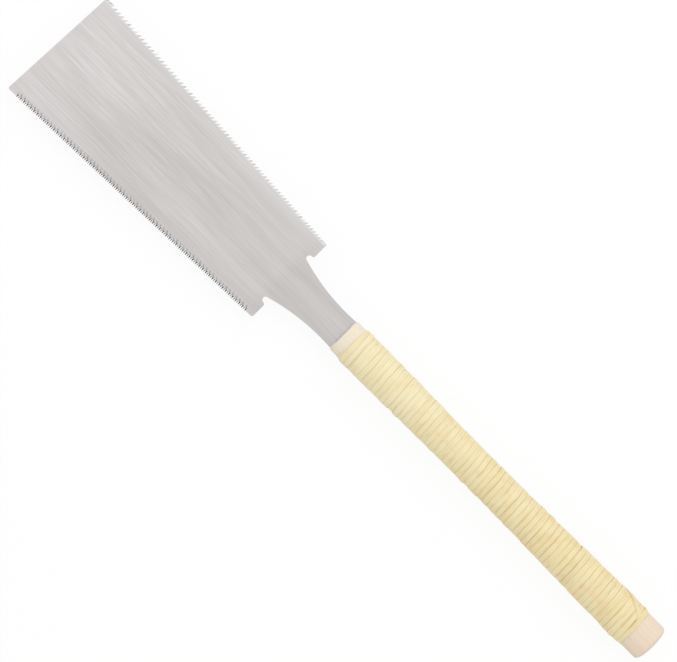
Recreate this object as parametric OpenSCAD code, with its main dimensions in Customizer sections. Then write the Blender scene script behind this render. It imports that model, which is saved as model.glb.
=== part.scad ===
// Ryoba saw: a double-edged pull saw whose blade pushes into a rattan-wound wooden handle.
// Millimetres. Origin at the centre of the butt face, +X along the saw to the tip of the blade,
// +Y to the crosscut edge, -Y to the rip edge, +Z square to the blade.

/* [Blade] */
// Thickness of the steel plate
blade_t = 0.5; // [0.4:0.05:0.9]
// Distance from the handle to the middle of the heel of the toothed plate
neck_len = 55.1; // [45:0.1:70]
// Length of the toothed plate, from the middle of the heel to the middle of the tip
plate_len = 239.9; // [180:0.1:300]
// Width of the plate at the heel
heel_w = 75.1; // [66:0.1:90]
// Width of the plate at the tip
tip_w = 96.6; // [80:0.1:120]
// How far the middle of the tip lies to the rip side of the handle's axis
tip_shift = 2.1; // [0:0.1:4]
// How much further the crosscut corner reaches than the rip corner
tip_skew = 4.4; // [0:0.1:8]
// How much nearer to the handle the heel is on the rip side than on the crosscut side
heel_skew = 1.2; // [0:0.1:3]
// Radius of the outer corners of the plate
corner_r = 1.5; // [0.5:0.1:3]
// Radius of the corners where the heel turns into the notches
heel_round = 1.8; // [0.5:0.1:3]

/* [Neck and tang] */
// Least width of the neck
neck_w = 25.8; // [23:0.1:27]
// Distance from the handle to the narrowest place of the neck
neck_waist_at = 11; // [5:0.5:20]
// Radius of the two hollow sides of the neck
neck_side_r = 165; // [120:1:220]
// Radius of the round notch between the neck and the heel
notch_r = 2.3; // [1.5:0.1:2.8]
// Depth of the notch in front of the heel
notch_depth = 4.2; // [3.4:0.1:6]
// Width of the tang
tang_w = 16; // [14:0.5:18]
// Length of the tang inside the handle
tang_len = 62; // [50:1:75]

/* [Rip teeth] */
// Pitch of the first rip tooth, at the heel
rip_pitch_heel = 2.8; // [2.2:0.05:3.2]
// Pitch of the last rip tooth, at the tip
rip_pitch_tip = 3.7; // [3.2:0.05:4.5]
// Depth of the last rip tooth
rip_depth = 3.2; // [2:0.1:3.6]
// Lean of the cutting face of a rip tooth towards the handle, in degrees
rip_rake = 10; // [0:1:12]

/* [Crosscut teeth] */
// Pitch of the crosscut teeth
cross_pitch = 1.63; // [1.4:0.01:2.2]
// Depth of the crosscut teeth
cross_depth = 2.7; // [1.8:0.1:3]
// Width of the flat at the bottom of a crosscut gullet
cross_gullet = 0.16; // [0.12:0.01:0.3]
// Distance along the edge from the foot of a crosscut tooth to its point
cross_point_at = 0.62; // [0.5:0.01:0.7]
// Length along the edge of the slanted top behind the point
cross_top_len = 0.3; // [0.2:0.01:0.4]
// Height of the slanted top
cross_top_h = 0.6; // [0.3:0.05:0.9]
// Width of the bevels filed on alternate sides of the crosscut teeth
cross_bevel = 0.4; // [0.2:0.02:0.5]
// Thickness of the steel left at the cutting edge of a bevel on the long flanks
bevel_land = 0.08; // [0.05:0.01:0.12]
// Thickness of the steel left at the cutting edge of the bevel on the slanted top
top_land = 0.15; // [0.13:0.01:0.2]

/* [Plain ends of the edges] */
// Plain stretch of both edges at the heel
heel_plain = 6.5; // [4:0.5:12]
// Plain stretch of both edges at the tip
tip_plain = 7.8; // [4:0.1:12]
// How far the points of the teeth stand out of the plain stretches
tooth_proud = 0.7; // [0.2:0.1:1]

/* [Handle] */
// Length of the wooden handle
handle_len = 316.3; // [240:0.1:360]
// Width of the wood at the front
front_w = 28.2; // [27:0.1:34]
// Width of the wood at the waist
waist_w = 25.7; // [23:0.1:30]
// Width of the wood at the butt
butt_w = 30.2; // [26:0.1:36]
// Thickness of the wood at the waist
waist_t = 19.8; // [17:0.1:24]
// Distance from the front of the handle back to its waist
waist_at = 137; // [100:1:180]
// Radius of the front edge
front_round = 1; // [0.5:0.1:2]
// Length of the rounded butt edge along the handle
butt_round = 3.5; // [1:0.1:5]
// Width of the rounded butt edge across the handle
butt_reach = 8; // [2:0.1:10]

/* [Rattan] */
// Width of the rattan strip
strip_w = 4.05; // [3:0.05:8]
// Width of the outer face of the strip, between its sloping edges
strip_top_w = 2.9; // [2:0.05:3]
// Thickness of the strip
strip_t = 0.9; // [0.6:0.05:1.5]
// Least gap between two turns
turn_gap = 0.45; // [0.42:0.01:0.8]
// Bare wood at the front
front_bare = 8.6; // [6:0.1:20]
// Bare wood at the butt
butt_bare = 19; // [12:0.5:40]
// Depth of the flat pressed on the underside of the winding, where the saw lies
lying_flat = 0.5; // [0.3:0.05:0.6]

/* [Blade holder] */
// Wall of the folded steel sheath
sheath_wall = 1; // [0.8:0.1:1.4]
// Length of the sheath behind the tang, where the cross pins go
sheath_tail = 33; // [28:1:45]
// Width of the lip of the sheath past the open edge of the tang
sheath_lip = 1.2; // [0.8:0.1:2]
// Diameter of the stop rivet
rivet_d = 5; // [4:0.1:6]
// Diameter of the rivet's heads
rivet_head_d = 8; // [7:0.1:10]
// Height of a rivet head
rivet_head_h = 0.8; // [0.5:0.1:1.2]
// Diameter of the cross pins
pin_d = 4; // [3:0.1:5]
// Distance from the rear end of the sheath to the rear cross pin
rear_pin_at = 8; // [6:0.5:10]
// Distance between the two cross pins
pin_spacing = 15; // [10:0.5:16]

/* [Clearances] */
// Between each face of the tang and the sheath
slide_clear = 0.05; // [0.03:0.01:0.1]
// Between the edges of the tang and what is beside them
edge_clear = 0.3; // [0.2:0.05:0.5]
// Between the shoulders of the blade and the front of the handle
shoulder_clear = 0.15; // [0.1:0.05:0.3]
// Between the sheath and the wood
pocket_clear = 0.1; // [0.05:0.05:0.2]
// Between a pin or rivet and its hole
hole_clear = 0.03; // [0.02:0.01:0.08]
// Between the corners of the winding's inner side and the wood
wind_clear = 0.33; // [0.3:0.01:0.5]
// How far the ends of the cross pins lie under the surface of the wood
pin_sink = 0.5; // [0.3:0.1:1]

/* [Hidden] */
$fn = 96;

// Overshoot that lets a cut pass clear of the face it opens
over = 1;

// Blade corners, in a frame that starts at the front of the handle; side is -1 for rip and 1 for crosscut
function heel_x(side) = neck_len + side * heel_skew / 2;
tip_x = neck_len + plate_len;
rip_heel = [heel_x(-1), -heel_w / 2];
cross_heel = [heel_x(1), heel_w / 2];
rip_tip = [tip_x - tip_skew / 2, -tip_w / 2 - tip_shift];
cross_tip = [tip_x + tip_skew / 2, tip_w / 2 - tip_shift];
corner_steps = 5;
notch_steps = 16;
neck_steps = 24;
// Least straight wall between the round end of a notch and the rounded corner of the heel
least_wall = 0.1;

// Notch between the neck and the heel: its round end touches the hollow side of the neck
function notch_x(side) = heel_x(side) + notch_depth - notch_r;
function notch_y(side) = neck_half(notch_x(side)) + notch_r;
function notch_wall(side) = notch_y(side) + notch_r;
nub_r = min(heel_round, notch_depth - notch_r - least_wall);

// Slot, sheath and pocket
slot_t = blade_t + 2 * slide_clear;
sheath_t = slot_t + 2 * sheath_wall;
sheath_len = tang_len + sheath_tail;
fold_y = -tang_w / 2 - edge_clear;
lip_y = tang_w / 2 + edge_clear + sheath_lip;
fork_r = rivet_d / 2 + edge_clear;
// The fork in the tang is two rivet diameters deep
rivet_x = -tang_len + 2 * rivet_d;
rear_pin_x = handle_len - sheath_len + rear_pin_at;
front_pin_x = rear_pin_x + pin_spacing;

// Handle profile
waist_x = handle_len - waist_at;
oval = waist_t / waist_w;
profile_steps = 28;
round_steps = 6;

// Winding
turn_steps = 16;
wound_run = handle_len - front_bare - butt_bare - strip_w;
turns = floor(wound_run / (strip_w + turn_gap));
turn_pitch = wound_run / turns;
wind_steps = turns * turn_steps;
// The strip starts and ends this many steps past the top, on the upper flank of the rip side,
// and the half step leaves a level stretch of the winding underneath
start_steps = 2.5;
wind_start = 90 + start_steps * 360 / turn_steps;

// Half width of the neck at distance x from the handle: a hollow arc
function neck_half(x) =
    neck_w / 2 + neck_side_r - sqrt(pow(neck_side_r, 2) - pow(x - neck_waist_at, 2));

// Half width of the wood at distance x from the butt: a cosine sweep from the waist to each end
function wood_half(x) =
    let (end_w = x > waist_x ? front_w : butt_w,
         span = x > waist_x ? waist_at : waist_x,
         part = min(1, abs(x - waist_x) / span))
    (waist_w + (end_w - waist_w) * (1 - cos(180 * part)) / 2) / 2;

function unit(v) = v / norm(v);

function reversed(list) = [for (i = [len(list) - 1 : -1 : 0]) list[i]];

// Points of an arc that rounds corner c between its neighbours a and b
function rounded(a, c, b, r) =
    let (u = unit(a - c), v = unit(b - c),
         half = acos(u * v) / 2,
         centre = c + unit(u + v) * r / sin(half),
         start = c + u * r / tan(half) - centre,
         turn = 180 - 2 * half,
         way = u.x * v.y - u.y * v.x > 0 ? -1 : 1)
    [for (i = [0 : corner_steps])
        let (t = way * turn * i / corner_steps)
        centre + [start.x * cos(t) - start.y * sin(t), start.x * sin(t) + start.y * cos(t)]];

// A point at distance d along the edge from a to b and at height h out of it; side is the outward turn
function on_edge(a, b, side, d, h) =
    let (u = unit(b - a)) a + u * d + side * [u.y, -u.x] * h;

// Rip teeth: the pitch grows evenly from the heel to the tip
rip_len = norm(rip_tip - rip_heel) - heel_plain - tip_plain;
rip_count = round(2 * rip_len / (rip_pitch_heel + rip_pitch_tip));
function rip_at(k) =
    let (grow = (rip_pitch_tip - rip_pitch_heel) / rip_count / 2)
    heel_plain + rip_len * (rip_pitch_heel * k + grow * k * k)
        / (rip_pitch_heel * rip_count + grow * rip_count * rip_count);
function rip_step(k) = rip_at(k + 1) - rip_at(k);
function rip_height(k) = rip_depth * rip_step(k) / rip_pitch_tip;
function rip_foot(k) = rip_at(k) + rip_height(k) * tan(rip_rake);
// The plain heel ends where the back of one more tooth would come up through it
rip_start = rip_at(-1) + (rip_foot(0) - rip_at(-1)) * tooth_proud / rip_height(0);
rip_points = concat([on_edge(rip_heel, rip_tip, 1, rip_start, 0)],
    [for (k = [0 : rip_count])
        each [on_edge(rip_heel, rip_tip, 1, rip_foot(k), tooth_proud - rip_height(k)),
              on_edge(rip_heel, rip_tip, 1, rip_at(k), tooth_proud)]]);

// Crosscut teeth: tall, nearly even teeth with a slanted top
cross_len = norm(cross_tip - cross_heel) - heel_plain - tip_plain;
cross_count = round(cross_len / cross_pitch);
cross_step = cross_len / cross_count;
cross_base = cross_step - cross_gullet;
// The wedge that files a bevel starts this far outside its flank, well short of the next tooth
file_over = cross_gullet / 4;
// The wedge runs this far past both ends of its flank
file_run = cross_gullet / 2;
// Steel left at the cutting edge of the front flank, the slanted top and the back flank
flank_lands = [bevel_land, top_land, bevel_land];
function cross_at(k, d, h) = on_edge(cross_heel, cross_tip, -1, heel_plain + k * cross_step + d, h);
cross_foot = tooth_proud - cross_depth;
function cross_tooth(k) =
    [cross_at(k, 0, cross_foot), cross_at(k, cross_point_at, tooth_proud),
     cross_at(k, cross_point_at + cross_top_len, tooth_proud - cross_top_h),
     cross_at(k, cross_base, cross_foot)];
cross_points = concat(
    [cross_at(cross_count, 0, 0), cross_at(cross_count, 0, cross_foot)],
    [for (k = [cross_count - 1 : -1 : 0]) each reversed(cross_tooth(k))],
    [cross_at(0, -cross_gullet, cross_foot), cross_at(0, -cross_gullet, 0)]);

// One hollow side of the neck and the round end of its notch, from the handle to the wall of the notch
function neck_side(side) = concat(
    [for (i = [0 : neck_steps - 1])
        let (x = shoulder_clear + (notch_x(side) - shoulder_clear) * i / neck_steps)
        [x, side * neck_half(x)]],
    [for (i = [0 : notch_steps])
        let (t = 180 * i / notch_steps - 90)
        [notch_x(side) + notch_r * cos(t), side * (notch_y(side) + notch_r * sin(t))]]);

// The neck and the plate: along one side of the neck, round the teeth and the tip, and back
rip_nub = [heel_x(-1), -notch_wall(-1)];
cross_nub = [heel_x(1), notch_wall(1)];
rip_wall = [notch_x(-1), -notch_wall(-1)];
cross_wall = [notch_x(1), notch_wall(1)];
blade_points = concat(
    neck_side(-1), rounded(rip_wall, rip_nub, rip_heel, nub_r),
    rounded(rip_nub, rip_heel, rip_tip, corner_r), rip_points,
    rounded(rip_heel, rip_tip, cross_tip, corner_r), rounded(rip_tip, cross_tip, cross_heel, corner_r),
    cross_points, rounded(cross_tip, cross_heel, cross_nub, corner_r),
    rounded(cross_heel, cross_nub, cross_wall, nub_r), reversed(neck_side(1)));

module tang_outline() {
    difference() {
        translate([-tang_len, -tang_w / 2]) square([tang_len + shoulder_clear + over, tang_w]);
        translate([-tang_len - over, -fork_r]) square([rivet_x + tang_len + over, 2 * fork_r]);
        translate([rivet_x, 0]) circle(fork_r);
    }
}

// Wedge that files a bevel on one flank of a tooth, from a to b with the tooth on the left
module flank_file(a, b, face, land) {
    run = b - a;
    slope = cross_bevel / (blade_t - bevel_land);
    low = land - blade_t / 2;
    high = blade_t / 2 + over;
    section = [[-file_over, face * (low - file_over / slope)], [-file_over, face * high],
               [(high - low) * slope, face * high]];
    translate([a.x, a.y, 0]) rotate([0, 0, atan2(run.y, run.x)]) translate([-file_run, 0, 0])
        rotate([90, 0, 90]) linear_extrude(norm(run) + 2 * file_run) polygon(section);
}

module blade() {
    color("#cdc9c7") translate([handle_len, 0, 0]) difference() {
        translate([0, 0, -blade_t / 2]) linear_extrude(blade_t) {
            polygon(blade_points);
            tang_outline();
        }
        for (k = [0 : cross_count - 1]) {
            tooth = cross_tooth(k);
            face = k % 2 == 0 ? 1 : -1;
            for (i = [0 : len(tooth) - 2]) flank_file(tooth[i + 1], tooth[i], face, flank_lands[i]);
        }
    }
}

// Cross-section of the sheath: a sheet folded round the rip edge of the tang
module sheath_section() {
    difference() {
        union() {
            translate([fold_y, 0]) circle(sheath_t / 2);
            translate([fold_y, -sheath_t / 2]) square([lip_y - fold_y, sheath_t]);
        }
        translate([fold_y, 0]) circle(slot_t / 2);
        translate([fold_y, -slot_t / 2]) square([lip_y - fold_y + over, slot_t]);
    }
}

module blade_sheath() {
    color("#8f9194") difference() {
        translate([handle_len - sheath_len, 0, 0])
            rotate([90, 0, 90]) linear_extrude(sheath_len) sheath_section();
        translate([handle_len + rivet_x, 0, 0]) hole(rivet_d, sheath_t);
        for (x = [front_pin_x, rear_pin_x]) translate([x, 0, 0]) hole(pin_d, sheath_t);
    }
}

// Round hole for a pin of diameter d through a layer of thickness t
module hole(d, t) {
    cylinder(d = d + 2 * hole_clear, h = t + 2 * over, center = true);
}

module stop_rivet() {
    color("#a9a59b") translate([handle_len + rivet_x, 0, 0]) {
        cylinder(d = rivet_d, h = sheath_t + 2 * hole_clear, center = true);
        for (side = [0, 1]) mirror([0, 0, side])
            translate([0, 0, sheath_t / 2 + hole_clear]) cylinder(d = rivet_head_d, h = rivet_head_h);
    }
}

module cross_pin(x) {
    color("#a9a59b") translate([x, 0, 0])
        cylinder(d = pin_d, h = 2 * (wood_half(x) * oval - pin_sink), center = true);
}

module front_cross_pin() { cross_pin(front_pin_x); }

module rear_cross_pin() { cross_pin(rear_pin_x); }

// Half of the wood's turned profile, as radius and distance from the butt
wood_profile = concat(
    [[0, -over], [wood_half(butt_round) - butt_reach, -over]],
    [for (i = [0 : round_steps]) let (t = 90 * i / round_steps)
        [wood_half(butt_round) - butt_reach * (1 - sin(t)), butt_round * (1 - cos(t))]],
    [for (i = [1 : profile_steps - 1])
        let (x = butt_round + (handle_len - front_round - butt_round) * i / profile_steps) [wood_half(x), x]],
    [for (i = [0 : round_steps]) let (t = 90 * i / round_steps)
        [wood_half(handle_len) - front_round * (1 - cos(t)), handle_len - front_round * (1 - sin(t))]],
    [[wood_half(handle_len) - front_round, handle_len + over], [0, handle_len + over]]);

// Wooden half above the blade's plane, with its share of the pocket and the holes
module handle_half() {
    difference() {
        intersection() {
            scale([1, 1, oval]) rotate([0, 90, 0]) rotate_extrude() polygon(wood_profile);
            translate([0, -butt_w - front_w, 0]) cube([handle_len, 2 * (butt_w + front_w), butt_w]);
        }
        translate([handle_len - sheath_len - pocket_clear, fold_y - sheath_t / 2 - pocket_clear, -over])
            cube([sheath_len + pocket_clear + over, lip_y - fold_y + sheath_t / 2 + 2 * pocket_clear,
                  sheath_t / 2 + pocket_clear + over]);
        translate([handle_len + rivet_x, 0, 0])
            cylinder(d = rivet_head_d + 2 * edge_clear,
                     h = sheath_t / 2 + hole_clear + rivet_head_h + pocket_clear);
        for (x = [front_pin_x, rear_pin_x]) translate([x, 0, 0]) hole(pin_d, butt_w);
    }
}

module upper_handle_half() { color("#eee3ce") handle_half(); }

module lower_handle_half() { color("#e6d8bf") mirror([0, 0, 1]) handle_half(); }

// Point of the winding at step i, dx from the middle of the strip and lift out of the wood
function wind_point(i, dx, lift) =
    let (x = butt_bare + strip_w / 2 + turn_pitch * i / turn_steps + dx,
         t = wind_start + 360 * i / turn_steps,
         r = wood_half(x),
         out = unit([oval * cos(t), sin(t)]),
         lowest = -(r * oval + wind_clear + strip_t) + lying_flat)
    [x, r * cos(t) + out.x * lift, max(lowest, r * oval * sin(t) + out.y * lift)];

// Section of the strip at step i: a flat bar with sloping edges
function wind_ring(i) =
    [wind_point(i, -strip_w / 2, wind_clear), wind_point(i, -strip_top_w / 2, wind_clear + strip_t),
     wind_point(i, strip_top_w / 2, wind_clear + strip_t), wind_point(i, strip_w / 2, wind_clear)];

// The section at step i carried straight on for one strip width, away from step j
function straight_end(i, j) =
    let (a = wind_ring(i), b = wind_ring(j), go = unit(a[0] - b[0]) * strip_w) [for (p = a) p + go];

wind_rings = concat([straight_end(0, 1)], [for (i = [0 : wind_steps]) wind_ring(i)],
                    [straight_end(wind_steps, wind_steps - 1)]);

least_gap = min([for (i = [0 : wind_steps - turn_steps])
    norm(wind_point(i + turn_steps, -strip_w / 2, wind_clear) - wind_point(i, strip_w / 2, wind_clear))]);
echo("least gap between turns of the winding, mm", least_gap);

module rattan_wrap() {
    sides = len(wind_rings[0]);
    last = (len(wind_rings) - 1) * sides;
    color("#ebdbae") polyhedron(
        points = [for (ring = wind_rings) each ring],
        faces = concat([[0, 1, 2], [0, 2, 3], [last, last + 2, last + 1], [last, last + 3, last + 2]],
            [for (i = [0 : len(wind_rings) - 2]) for (j = [0 : sides - 1])
                let (a = i * sides + j, b = i * sides + (j + 1) % sides)
                each [[a, a + sides, b + sides], [a, b + sides, b]]]));
}

blade();
blade_sheath();
stop_rivet();
front_cross_pin();
rear_cross_pin();
upper_handle_half();
lower_handle_half();
rattan_wrap();
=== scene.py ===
"""Dresses a ryoba saw: ground steel blade, two-piece wooden handle, rattan winding, studio and camera."""

import logging
import math
from dataclasses import dataclass, fields
from enum import Enum
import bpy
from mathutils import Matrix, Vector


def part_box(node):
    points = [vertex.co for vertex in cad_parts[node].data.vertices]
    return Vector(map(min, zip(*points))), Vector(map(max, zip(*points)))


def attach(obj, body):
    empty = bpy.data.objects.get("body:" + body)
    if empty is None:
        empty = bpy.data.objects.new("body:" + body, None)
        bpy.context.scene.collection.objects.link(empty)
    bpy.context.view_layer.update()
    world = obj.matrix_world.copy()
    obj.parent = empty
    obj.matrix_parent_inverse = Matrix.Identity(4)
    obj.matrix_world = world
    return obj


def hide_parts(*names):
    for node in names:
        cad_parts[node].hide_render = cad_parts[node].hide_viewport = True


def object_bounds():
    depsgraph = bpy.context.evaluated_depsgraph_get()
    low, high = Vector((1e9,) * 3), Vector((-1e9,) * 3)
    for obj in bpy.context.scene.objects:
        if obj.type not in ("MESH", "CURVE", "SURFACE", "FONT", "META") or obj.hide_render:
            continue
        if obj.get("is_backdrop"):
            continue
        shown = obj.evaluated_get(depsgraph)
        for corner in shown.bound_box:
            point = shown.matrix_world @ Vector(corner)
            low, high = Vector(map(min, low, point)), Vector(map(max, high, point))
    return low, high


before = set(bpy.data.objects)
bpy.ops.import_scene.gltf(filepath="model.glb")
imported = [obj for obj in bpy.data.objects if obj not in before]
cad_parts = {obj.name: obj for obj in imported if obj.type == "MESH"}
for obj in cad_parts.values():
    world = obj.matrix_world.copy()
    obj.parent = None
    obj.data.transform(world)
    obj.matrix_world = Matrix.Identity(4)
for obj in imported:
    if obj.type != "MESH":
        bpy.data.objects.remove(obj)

from types import SimpleNamespace

import bmesh
import bpy
from mathutils import Matrix, Vector

CAD_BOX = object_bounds()
MM = 0.001
FULL_TURN = 2 * math.pi
STRIP_RUN = "strip_run"
STRIP_ACROSS = "strip_across"

log = logging.getLogger("saw")

Pair = tuple[float, float]
Triple = tuple[float, float, float]
Colour = tuple[float, float, float, float]


class Body(Enum):
    """Bodies of the record that new pieces ride with; the blade's body has no new piece."""

    HANDLE = "handle"


class Slot(Enum):
    """Material slots of the record."""

    BLADE = "blade_steel"
    SHEATH = "sheath_steel"
    PIN = "pin_steel"
    WOOD = "handle_wood"
    RATTAN = "rattan"


class Half(Enum):
    """The two wooden halves, with the side of the blade's plane that each lies on."""

    UPPER = 1
    LOWER = -1

    @property
    def node(self) -> str:
        """Name of the solid that the half stands for."""
        return f"{self.name.lower()}_handle_half"


def paint(red: int, green: int, blue: int) -> Colour:
    """Turns a colour as seen on a screen into the linear colour that a shader takes.

    Args:
        red: Red from 0 to 255.
        green: Green from 0 to 255.
        blue: Blue from 0 to 255.

    Returns:
        Linear red, green, blue and an alpha of 1.
    """
    def linear(level: int) -> float:
        """Linear value of one channel."""
        share = level / 255
        return share / 12.92 if share <= 0.04045 else ((share + 0.055) / 1.055) ** 2.4

    return (linear(red), linear(green), linear(blue), 1.0)


def grey(level: float) -> Colour:
    """Linear grey of one level."""
    return (level, level, level, 1.0)


class Signal:
    """Output of a node that reads like a number: signs and methods add nodes to its tree."""

    MIX_FIRST = 6
    MIX_SECOND = 7
    MIX_RESULT = 2

    def __init__(self, bench: "Bench", socket: bpy.types.NodeSocket) -> None:
        """Takes the bench of the tree and the output."""
        self.bench = bench
        self.socket = socket

    def apply(self, operation: str, *others: "Value", clamp: bool = False) -> "Signal":
        """Applies one operation with this value first; clamp keeps the result from 0 to 1."""
        return self.bench.out("ShaderNodeMath", self, *others, operation=operation, use_clamp=clamp)

    def __add__(self, other: "Value") -> "Signal":
        """Adds a value."""
        return self.apply("ADD", other)

    def __mul__(self, other: "Value") -> "Signal":
        """Multiplies by a value."""
        return self.apply("MULTIPLY", other)

    __radd__ = __add__
    __rmul__ = __mul__

    def __sub__(self, other: "Value") -> "Signal":
        """Takes a value away."""
        return self.apply("SUBTRACT", other)

    def __rsub__(self, other: float) -> "Signal":
        """Takes this value from a plain one."""
        return self.bench.out("ShaderNodeMath", other, self, operation="SUBTRACT")

    def __truediv__(self, other: "Value") -> "Signal":
        """Divides by a value."""
        return self.apply("DIVIDE", other)

    def __abs__(self) -> "Signal":
        """Drops the sign."""
        return self.apply("ABSOLUTE")

    def at_most(self, limit: "Value") -> "Signal":
        """Keeps the value from passing a limit upwards."""
        return self.apply("MINIMUM", limit)

    def at_least(self, limit: "Value") -> "Signal":
        """Keeps the value from passing a limit downwards."""
        return self.apply("MAXIMUM", limit)

    def signed_power(self, power: "Value") -> "Signal":
        """Raises the size of the value to a power and keeps its sign."""
        return abs(self).apply("POWER", power) * self.apply("SIGN")

    def length(self, other: "Signal") -> "Signal":
        """Length of a line with this part and another one square to it."""
        return (self * self + other * other).apply("SQRT")

    def fade(self, start: "Value", end: "Value", low: "Value" = 0.0, high: "Value" = 1.0) -> "Signal":
        """Goes smoothly from low to high while this value goes from start to end."""
        span = (self, start, end, low, high)
        return self.bench.out("ShaderNodeMapRange", *span, interpolation_type="SMOOTHSTEP")

    def drift(self, seed: "Value", detail: float = 1.0) -> "Signal":
        """Random value from 0 to 1 along a line; the seed sets one line apart from another."""
        inputs = {"W": self + seed, "Scale": 1.0, "Detail": detail}
        return self.bench.out("ShaderNodeTexNoise", named=inputs, noise_dimensions="1D")

    def mottle(self, detail: float = 2.0) -> "Signal":
        """Random value from 0 to 1 in space, at the place that this vector gives."""
        inputs = {"Vector": self, "Scale": 1.0, "Detail": detail}
        return self.bench.out("ShaderNodeTexNoise", named=inputs, noise_dimensions="3D")

    def parts(self) -> tuple["Signal", ...]:
        """Splits this vector into its three values."""
        return self.bench.outs("ShaderNodeSeparateXYZ", self)

    def blend(self, first: "Signal | Colour", second: "Signal | Colour") -> "Signal":
        """Mixes two colours; a share of 0 gives the first and 1 the second."""
        inputs = {self.MIX_FIRST: first, self.MIX_SECOND: second}
        return self.bench.out("ShaderNodeMix", self, named=inputs, output=self.MIX_RESULT, data_type="RGBA")

    def shade(self, level: "Value") -> "Signal":
        """Multiplies this colour by a grey level."""
        return self.bench.out("ShaderNodeVectorMath", self, named={"Scale": level}, operation="SCALE")


Value = float | Signal
Fed = Value | Colour | str | bpy.types.Material


class Bench:
    """Adds nodes to one shader or geometry tree and joins them."""

    def __init__(self, tree: bpy.types.NodeTree) -> None:
        """Takes the tree that is worked on."""
        self.tree = tree

    def fill(self, node: bpy.types.Node, values: dict[str | int, Fed]) -> None:
        """Joins outputs to inputs of a node, or sets the inputs to plain values.

        Args:
            node: The node.
            values: What each input gets, by the input's name or place.
        """
        for key, value in values.items():
            if isinstance(value, Signal):
                self.tree.links.new(value.socket, node.inputs[key])
            else:
                node.inputs[key].default_value = value

    def add(
        self, kind: str, *values: Fed, named: dict[str | int, Fed] | None = None, **settings: object
    ) -> bpy.types.Node:
        """Adds a node and feeds its inputs.

        Args:
            kind: Blender's name of the node type.
            *values: What its first inputs get, in their order.
            named: What other inputs get, by their names or places.
            **settings: Properties of the node.

        Returns:
            The new node.
        """
        node = self.tree.nodes.new(kind)
        for name, setting in settings.items():
            setattr(node, name, setting)
        self.fill(node, dict(enumerate(values)) | (named or {}))
        return node

    def out(self, kind: str, *values: Fed, output: str | int = 0, **rest: object) -> Signal:
        """Adds a node and gives one of its outputs."""
        return Signal(self, self.add(kind, *values, **rest).outputs[output])

    def outs(self, kind: str, *values: Fed, **rest: object) -> tuple[Signal, ...]:
        """Adds a node and gives all its outputs."""
        return tuple(Signal(self, socket) for socket in self.add(kind, *values, **rest).outputs)

    def vector(self, *values: Value) -> Signal:
        """Makes a vector of three values."""
        return self.out("ShaderNodeCombineXYZ", *values)

    def spot(self) -> tuple[Signal, ...]:
        """Place on the object: along the saw, across it and upwards."""
        return self.out("ShaderNodeTexCoord", output="Object").parts()


class SharedGroup:
    """Shader group that is built once and placed in any material."""

    NAME: str
    INPUTS: tuple[str, ...]
    OUTPUTS: tuple[str, ...]

    @classmethod
    def results(cls, *given: Signal) -> tuple[Signal, ...]:
        """Works out the outputs from the inputs, which each group does in its own way."""
        raise NotImplementedError

    @classmethod
    def build(cls) -> bpy.types.NodeTree:
        """Builds the group.

        Returns:
            The node group with its named inputs and outputs.
        """
        tree = bpy.data.node_groups.new(cls.NAME, "ShaderNodeTree")
        for way, names in (("INPUT", cls.INPUTS), ("OUTPUT", cls.OUTPUTS)):
            for name in names:
                tree.interface.new_socket(name=name, in_out=way, socket_type="NodeSocketFloat")
        bench = Bench(tree)
        given = bench.outs("NodeGroupInput")[:len(cls.INPUTS)]
        bench.add("NodeGroupOutput", *cls.results(*given))
        return tree

    @classmethod
    def place(cls, bench: Bench, *values: Value) -> tuple[Signal, ...]:
        """Places the group in a material and feeds its inputs in their order."""
        tree = bpy.data.node_groups.get(cls.NAME) or cls.build()
        return bench.outs("ShaderNodeGroup", *values, node_tree=tree)


class FibreLines(SharedGroup):
    """Fine lines and soft bands that run one way, as in ground steel, wood and cane."""

    NAME = "fibre_lines"
    INPUTS = ("Along", "Across", "Depth", "Line Length", "Line Width", "Band Length", "Band Width")
    OUTPUTS = ("Lines", "Bands")

    @classmethod
    def results(cls, *given: Signal) -> tuple[Signal, ...]:
        """Works out the lines and the bands.

        Args:
            *given: The inputs.

        Returns:
            The lines and the bands, each from 0 to 1 with a mean of a half.
        """
        along, across, depth, *sizes = given
        return tuple(
            along.bench.vector(along / length, across / width, depth / width).mottle()
            for length, width in (sizes[:2], sizes[2:])
        )


class Specks(SharedGroup):
    """Small scattered specks, as pores and cane scars; a higher rarity leaves fewer of them."""

    NAME = "specks"
    INPUTS = ("X", "Y", "Z", "Size", "Rarity")
    OUTPUTS = ("Specks",)
    SOFT_EDGE = 0.08

    @classmethod
    def results(cls, *given: Signal) -> tuple[Signal, ...]:
        """Works out the specks.

        Args:
            *given: The inputs.

        Returns:
            1 in a speck and 0 elsewhere.
        """
        *place, size, rarity = given
        level = size.bench.vector(*(axis / size for axis in place)).mottle(0.0)
        return (level.fade(rarity, rarity + cls.SOFT_EDGE),)


@dataclass(frozen=True)
class Finish:
    """What every finish has: a name and one Principled shader."""

    name: str

    def start(self) -> tuple[bpy.types.Material, Bench]:
        """Makes an empty material.

        Returns:
            The material and its bench.
        """
        material = bpy.data.materials.new(self.name)
        material.use_nodes = True
        return material, Bench(material.node_tree)

    @staticmethod
    def coat(height: Signal, depth: float, values: dict[str, Fed]) -> None:
        """Feeds the shader and gives it a fine relief.

        Args:
            height: Height of the relief from 0 to 1.
            depth: Real depth of the relief, in metres.
            values: What each named input of the shader gets.
        """
        bench = height.bench
        normal = bench.out("ShaderNodeBump", named={"Distance": depth, "Height": height})
        bench.fill(bench.tree.nodes["Principled BSDF"], values | {"Normal": normal})


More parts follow.
